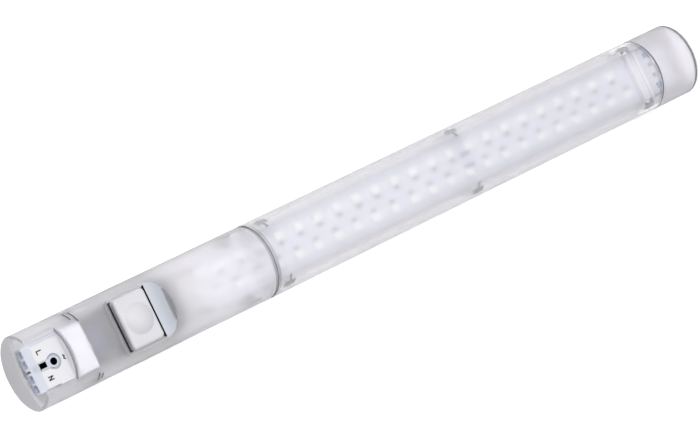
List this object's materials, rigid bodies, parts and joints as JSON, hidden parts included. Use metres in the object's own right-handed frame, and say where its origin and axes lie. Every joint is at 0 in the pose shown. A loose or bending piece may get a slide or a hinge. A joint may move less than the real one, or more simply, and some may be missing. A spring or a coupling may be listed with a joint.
{
  "type": "led light tube",
  "caption": "Round LED tube lamp for a control cabinet, with a mains terminal at one end, a push switch and a long clear lens over LED strips.",
  "frame": {"origin": "middle of the round tube, on its axis", "axes": "+X along the tube to the closed end, +Z towards the side the light leaves, +Y completes the right-handed frame"},
  "size_m": [0.351, 0.032, 0.032],
  "materials": {
    "frosted_housing": "satin frosted",
    "clear_lens": "gloss, prismatic inside",
    "switch_black": "matte",
    "terminal_blue": "satin",
    "white_plastic": "matte",
    "button_grey": "satin",
    "black_print": "printed",
    "spring_steel": "bright",
    "blackened_steel": "black oxide",
    "tinned_copper": "tinned",
    "driver_green": "solder mask",
    "led_board_white": "white solder mask",
    "led_white": "gloss",
    "component_black": "matte",
    "component_blue": "satin",
    "capacitor_sleeve": "shrink sleeve",
    "ceramic_brown": "matte",
    "fuse_white": "matte",
    "ferrite": "sintered",
    "copper_winding": "enamelled",
    "wire_brown": "pvc",
    "wire_blue": "pvc",
    "wire_red": "pvc",
    "wire_black": "pvc"
  },
  "bodies": {
    "lamp": {"rear_shell": "frosted_housing", "front_shell": "frosted_housing", "lens_cover": "clear_lens", "end_cap": "frosted_housing", "terminal_housing": "terminal_blue", "terminal_plate": "white_plastic", "terminal_marks": "black_print", "clamp_springs": "spring_steel", "contact_bar_line": "tinned_copper", "contact_bar_neutral": "tinned_copper", "terminal_screw": "blackened_steel", "switch_body": "switch_black", "switch_holder": "switch_black", "switch_tags": "tinned_copper", "switch_spring": "spring_steel", "driver_board": "driver_green", "film_capacitor": "component_blue", "varistor": "component_blue", "fuse_link": "fuse_white", "bridge_rectifier": "component_black", "smoothing_capacitor": "capacitor_sleeve", "choke_core": "ferrite", "choke_winding": "copper_winding", "driver_chip": "component_black", "driver_small_parts": "component_black", "led_board_a": "led_board_white", "led_board_b": "led_board_white", "leds_a": "led_white", "leds_b": "led_white", "led_resistors": "component_black", "board_links": "component_black", "end_bridge": "white_plastic", "end_board": "led_board_white", "end_diodes": "component_blue", "end_capacitors": "ceramic_brown", "wire_line_in": "wire_brown", "wire_line_switched": "wire_brown", "wire_neutral": "wire_blue", "wire_led_plus": "wire_red", "wire_led_minus": "wire_black"},
    "button": {"button_cap": "button_grey", "switch_plunger": "white_plastic", "contact_bridge": "tinned_copper"}
  },
  "joints": [
    {"name": "button_press", "type": "slide", "parent": "lamp", "child": "button", "axis": [0, 0, -1], "range_m": [0, 0.0022], "stiffness_N_per_m": 600, "springref_m": -0.0028, "deforming": ["switch_spring"]}
  ]
}
